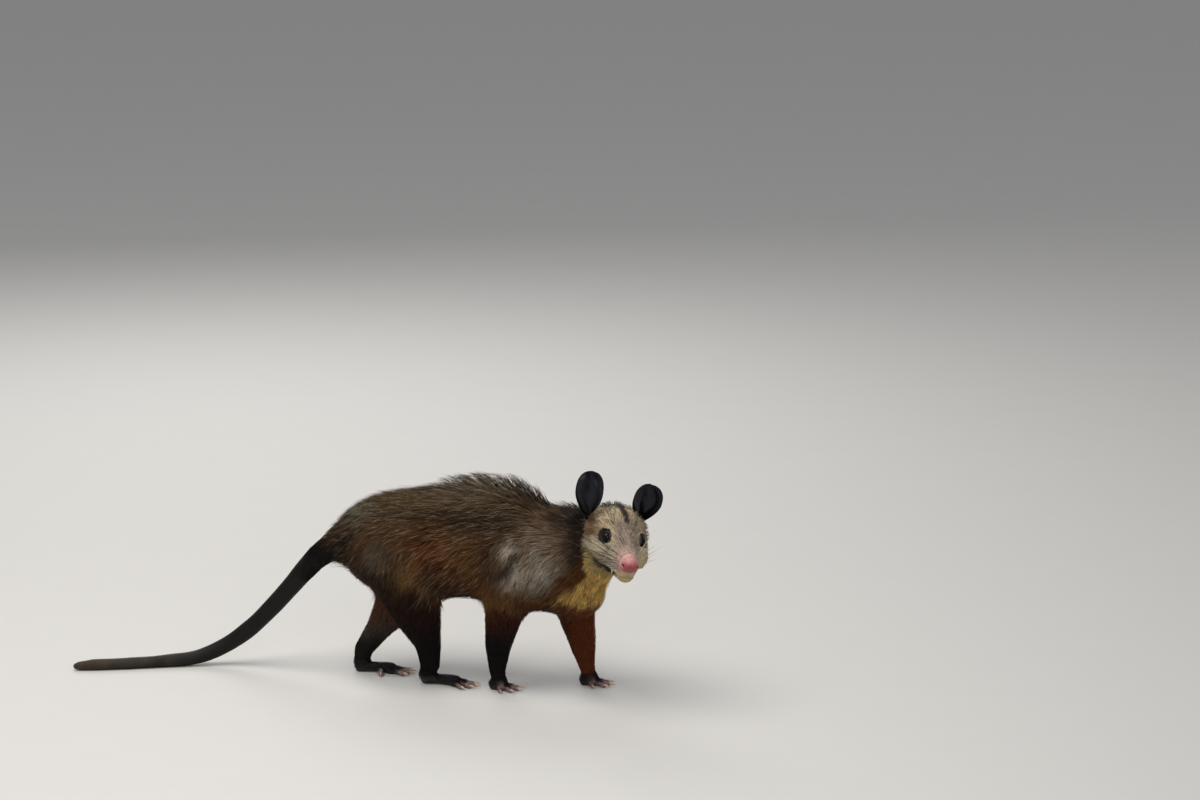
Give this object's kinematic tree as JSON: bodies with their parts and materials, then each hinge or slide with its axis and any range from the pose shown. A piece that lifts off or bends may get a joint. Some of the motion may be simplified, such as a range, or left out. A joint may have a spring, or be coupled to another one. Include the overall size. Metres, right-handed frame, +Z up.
{
  "type": "opossum",
  "caption": "Life-size opossum walking on all fours, head turned to its right, with naked upright ears and a long trailing tail.",
  "frame": {"origin": "middle of the overall bounding box in plan, at the level of the soles", "axes": "+X from the tail towards the head along the trunk, +Y to the animal's left, +Z up"},
  "size_m": [0.6622, 0.1892, 0.2562],
  "materials": {
    "fur": "coarse grizzled fur",
    "ear_skin": "thin naked skin, slight sheen",
    "eye": "wet gloss",
    "nose_skin": "moist pebbled skin",
    "foot_skin": "matt creased skin",
    "tail_skin": "fine scales, matt"
  },
  "bodies": {
    "root": {"ear_left": "ear_skin", "ear_right": "ear_skin", "eye_left": "eye", "eye_right": "eye", "fore_left_foot": "foot_skin", "fore_left_lower": "fur", "fore_left_upper": "fur", "fore_right_foot": "foot_skin", "fore_right_lower": "fur", "fore_right_upper": "fur", "head": "fur", "hind_left_foot": "foot_skin", "hind_left_lower": "fur", "hind_left_upper": "fur", "hind_right_foot": "foot_skin", "hind_right_lower": "fur", "hind_right_upper": "fur", "jaw": "fur", "neck": "fur", "nose": "nose_skin", "tail_1": "fur", "tail_2": "tail_skin", "tail_3": "tail_skin", "tail_4": "tail_skin", "tail_5": "tail_skin", "torso": "fur"}
  },
  "joints": []
}
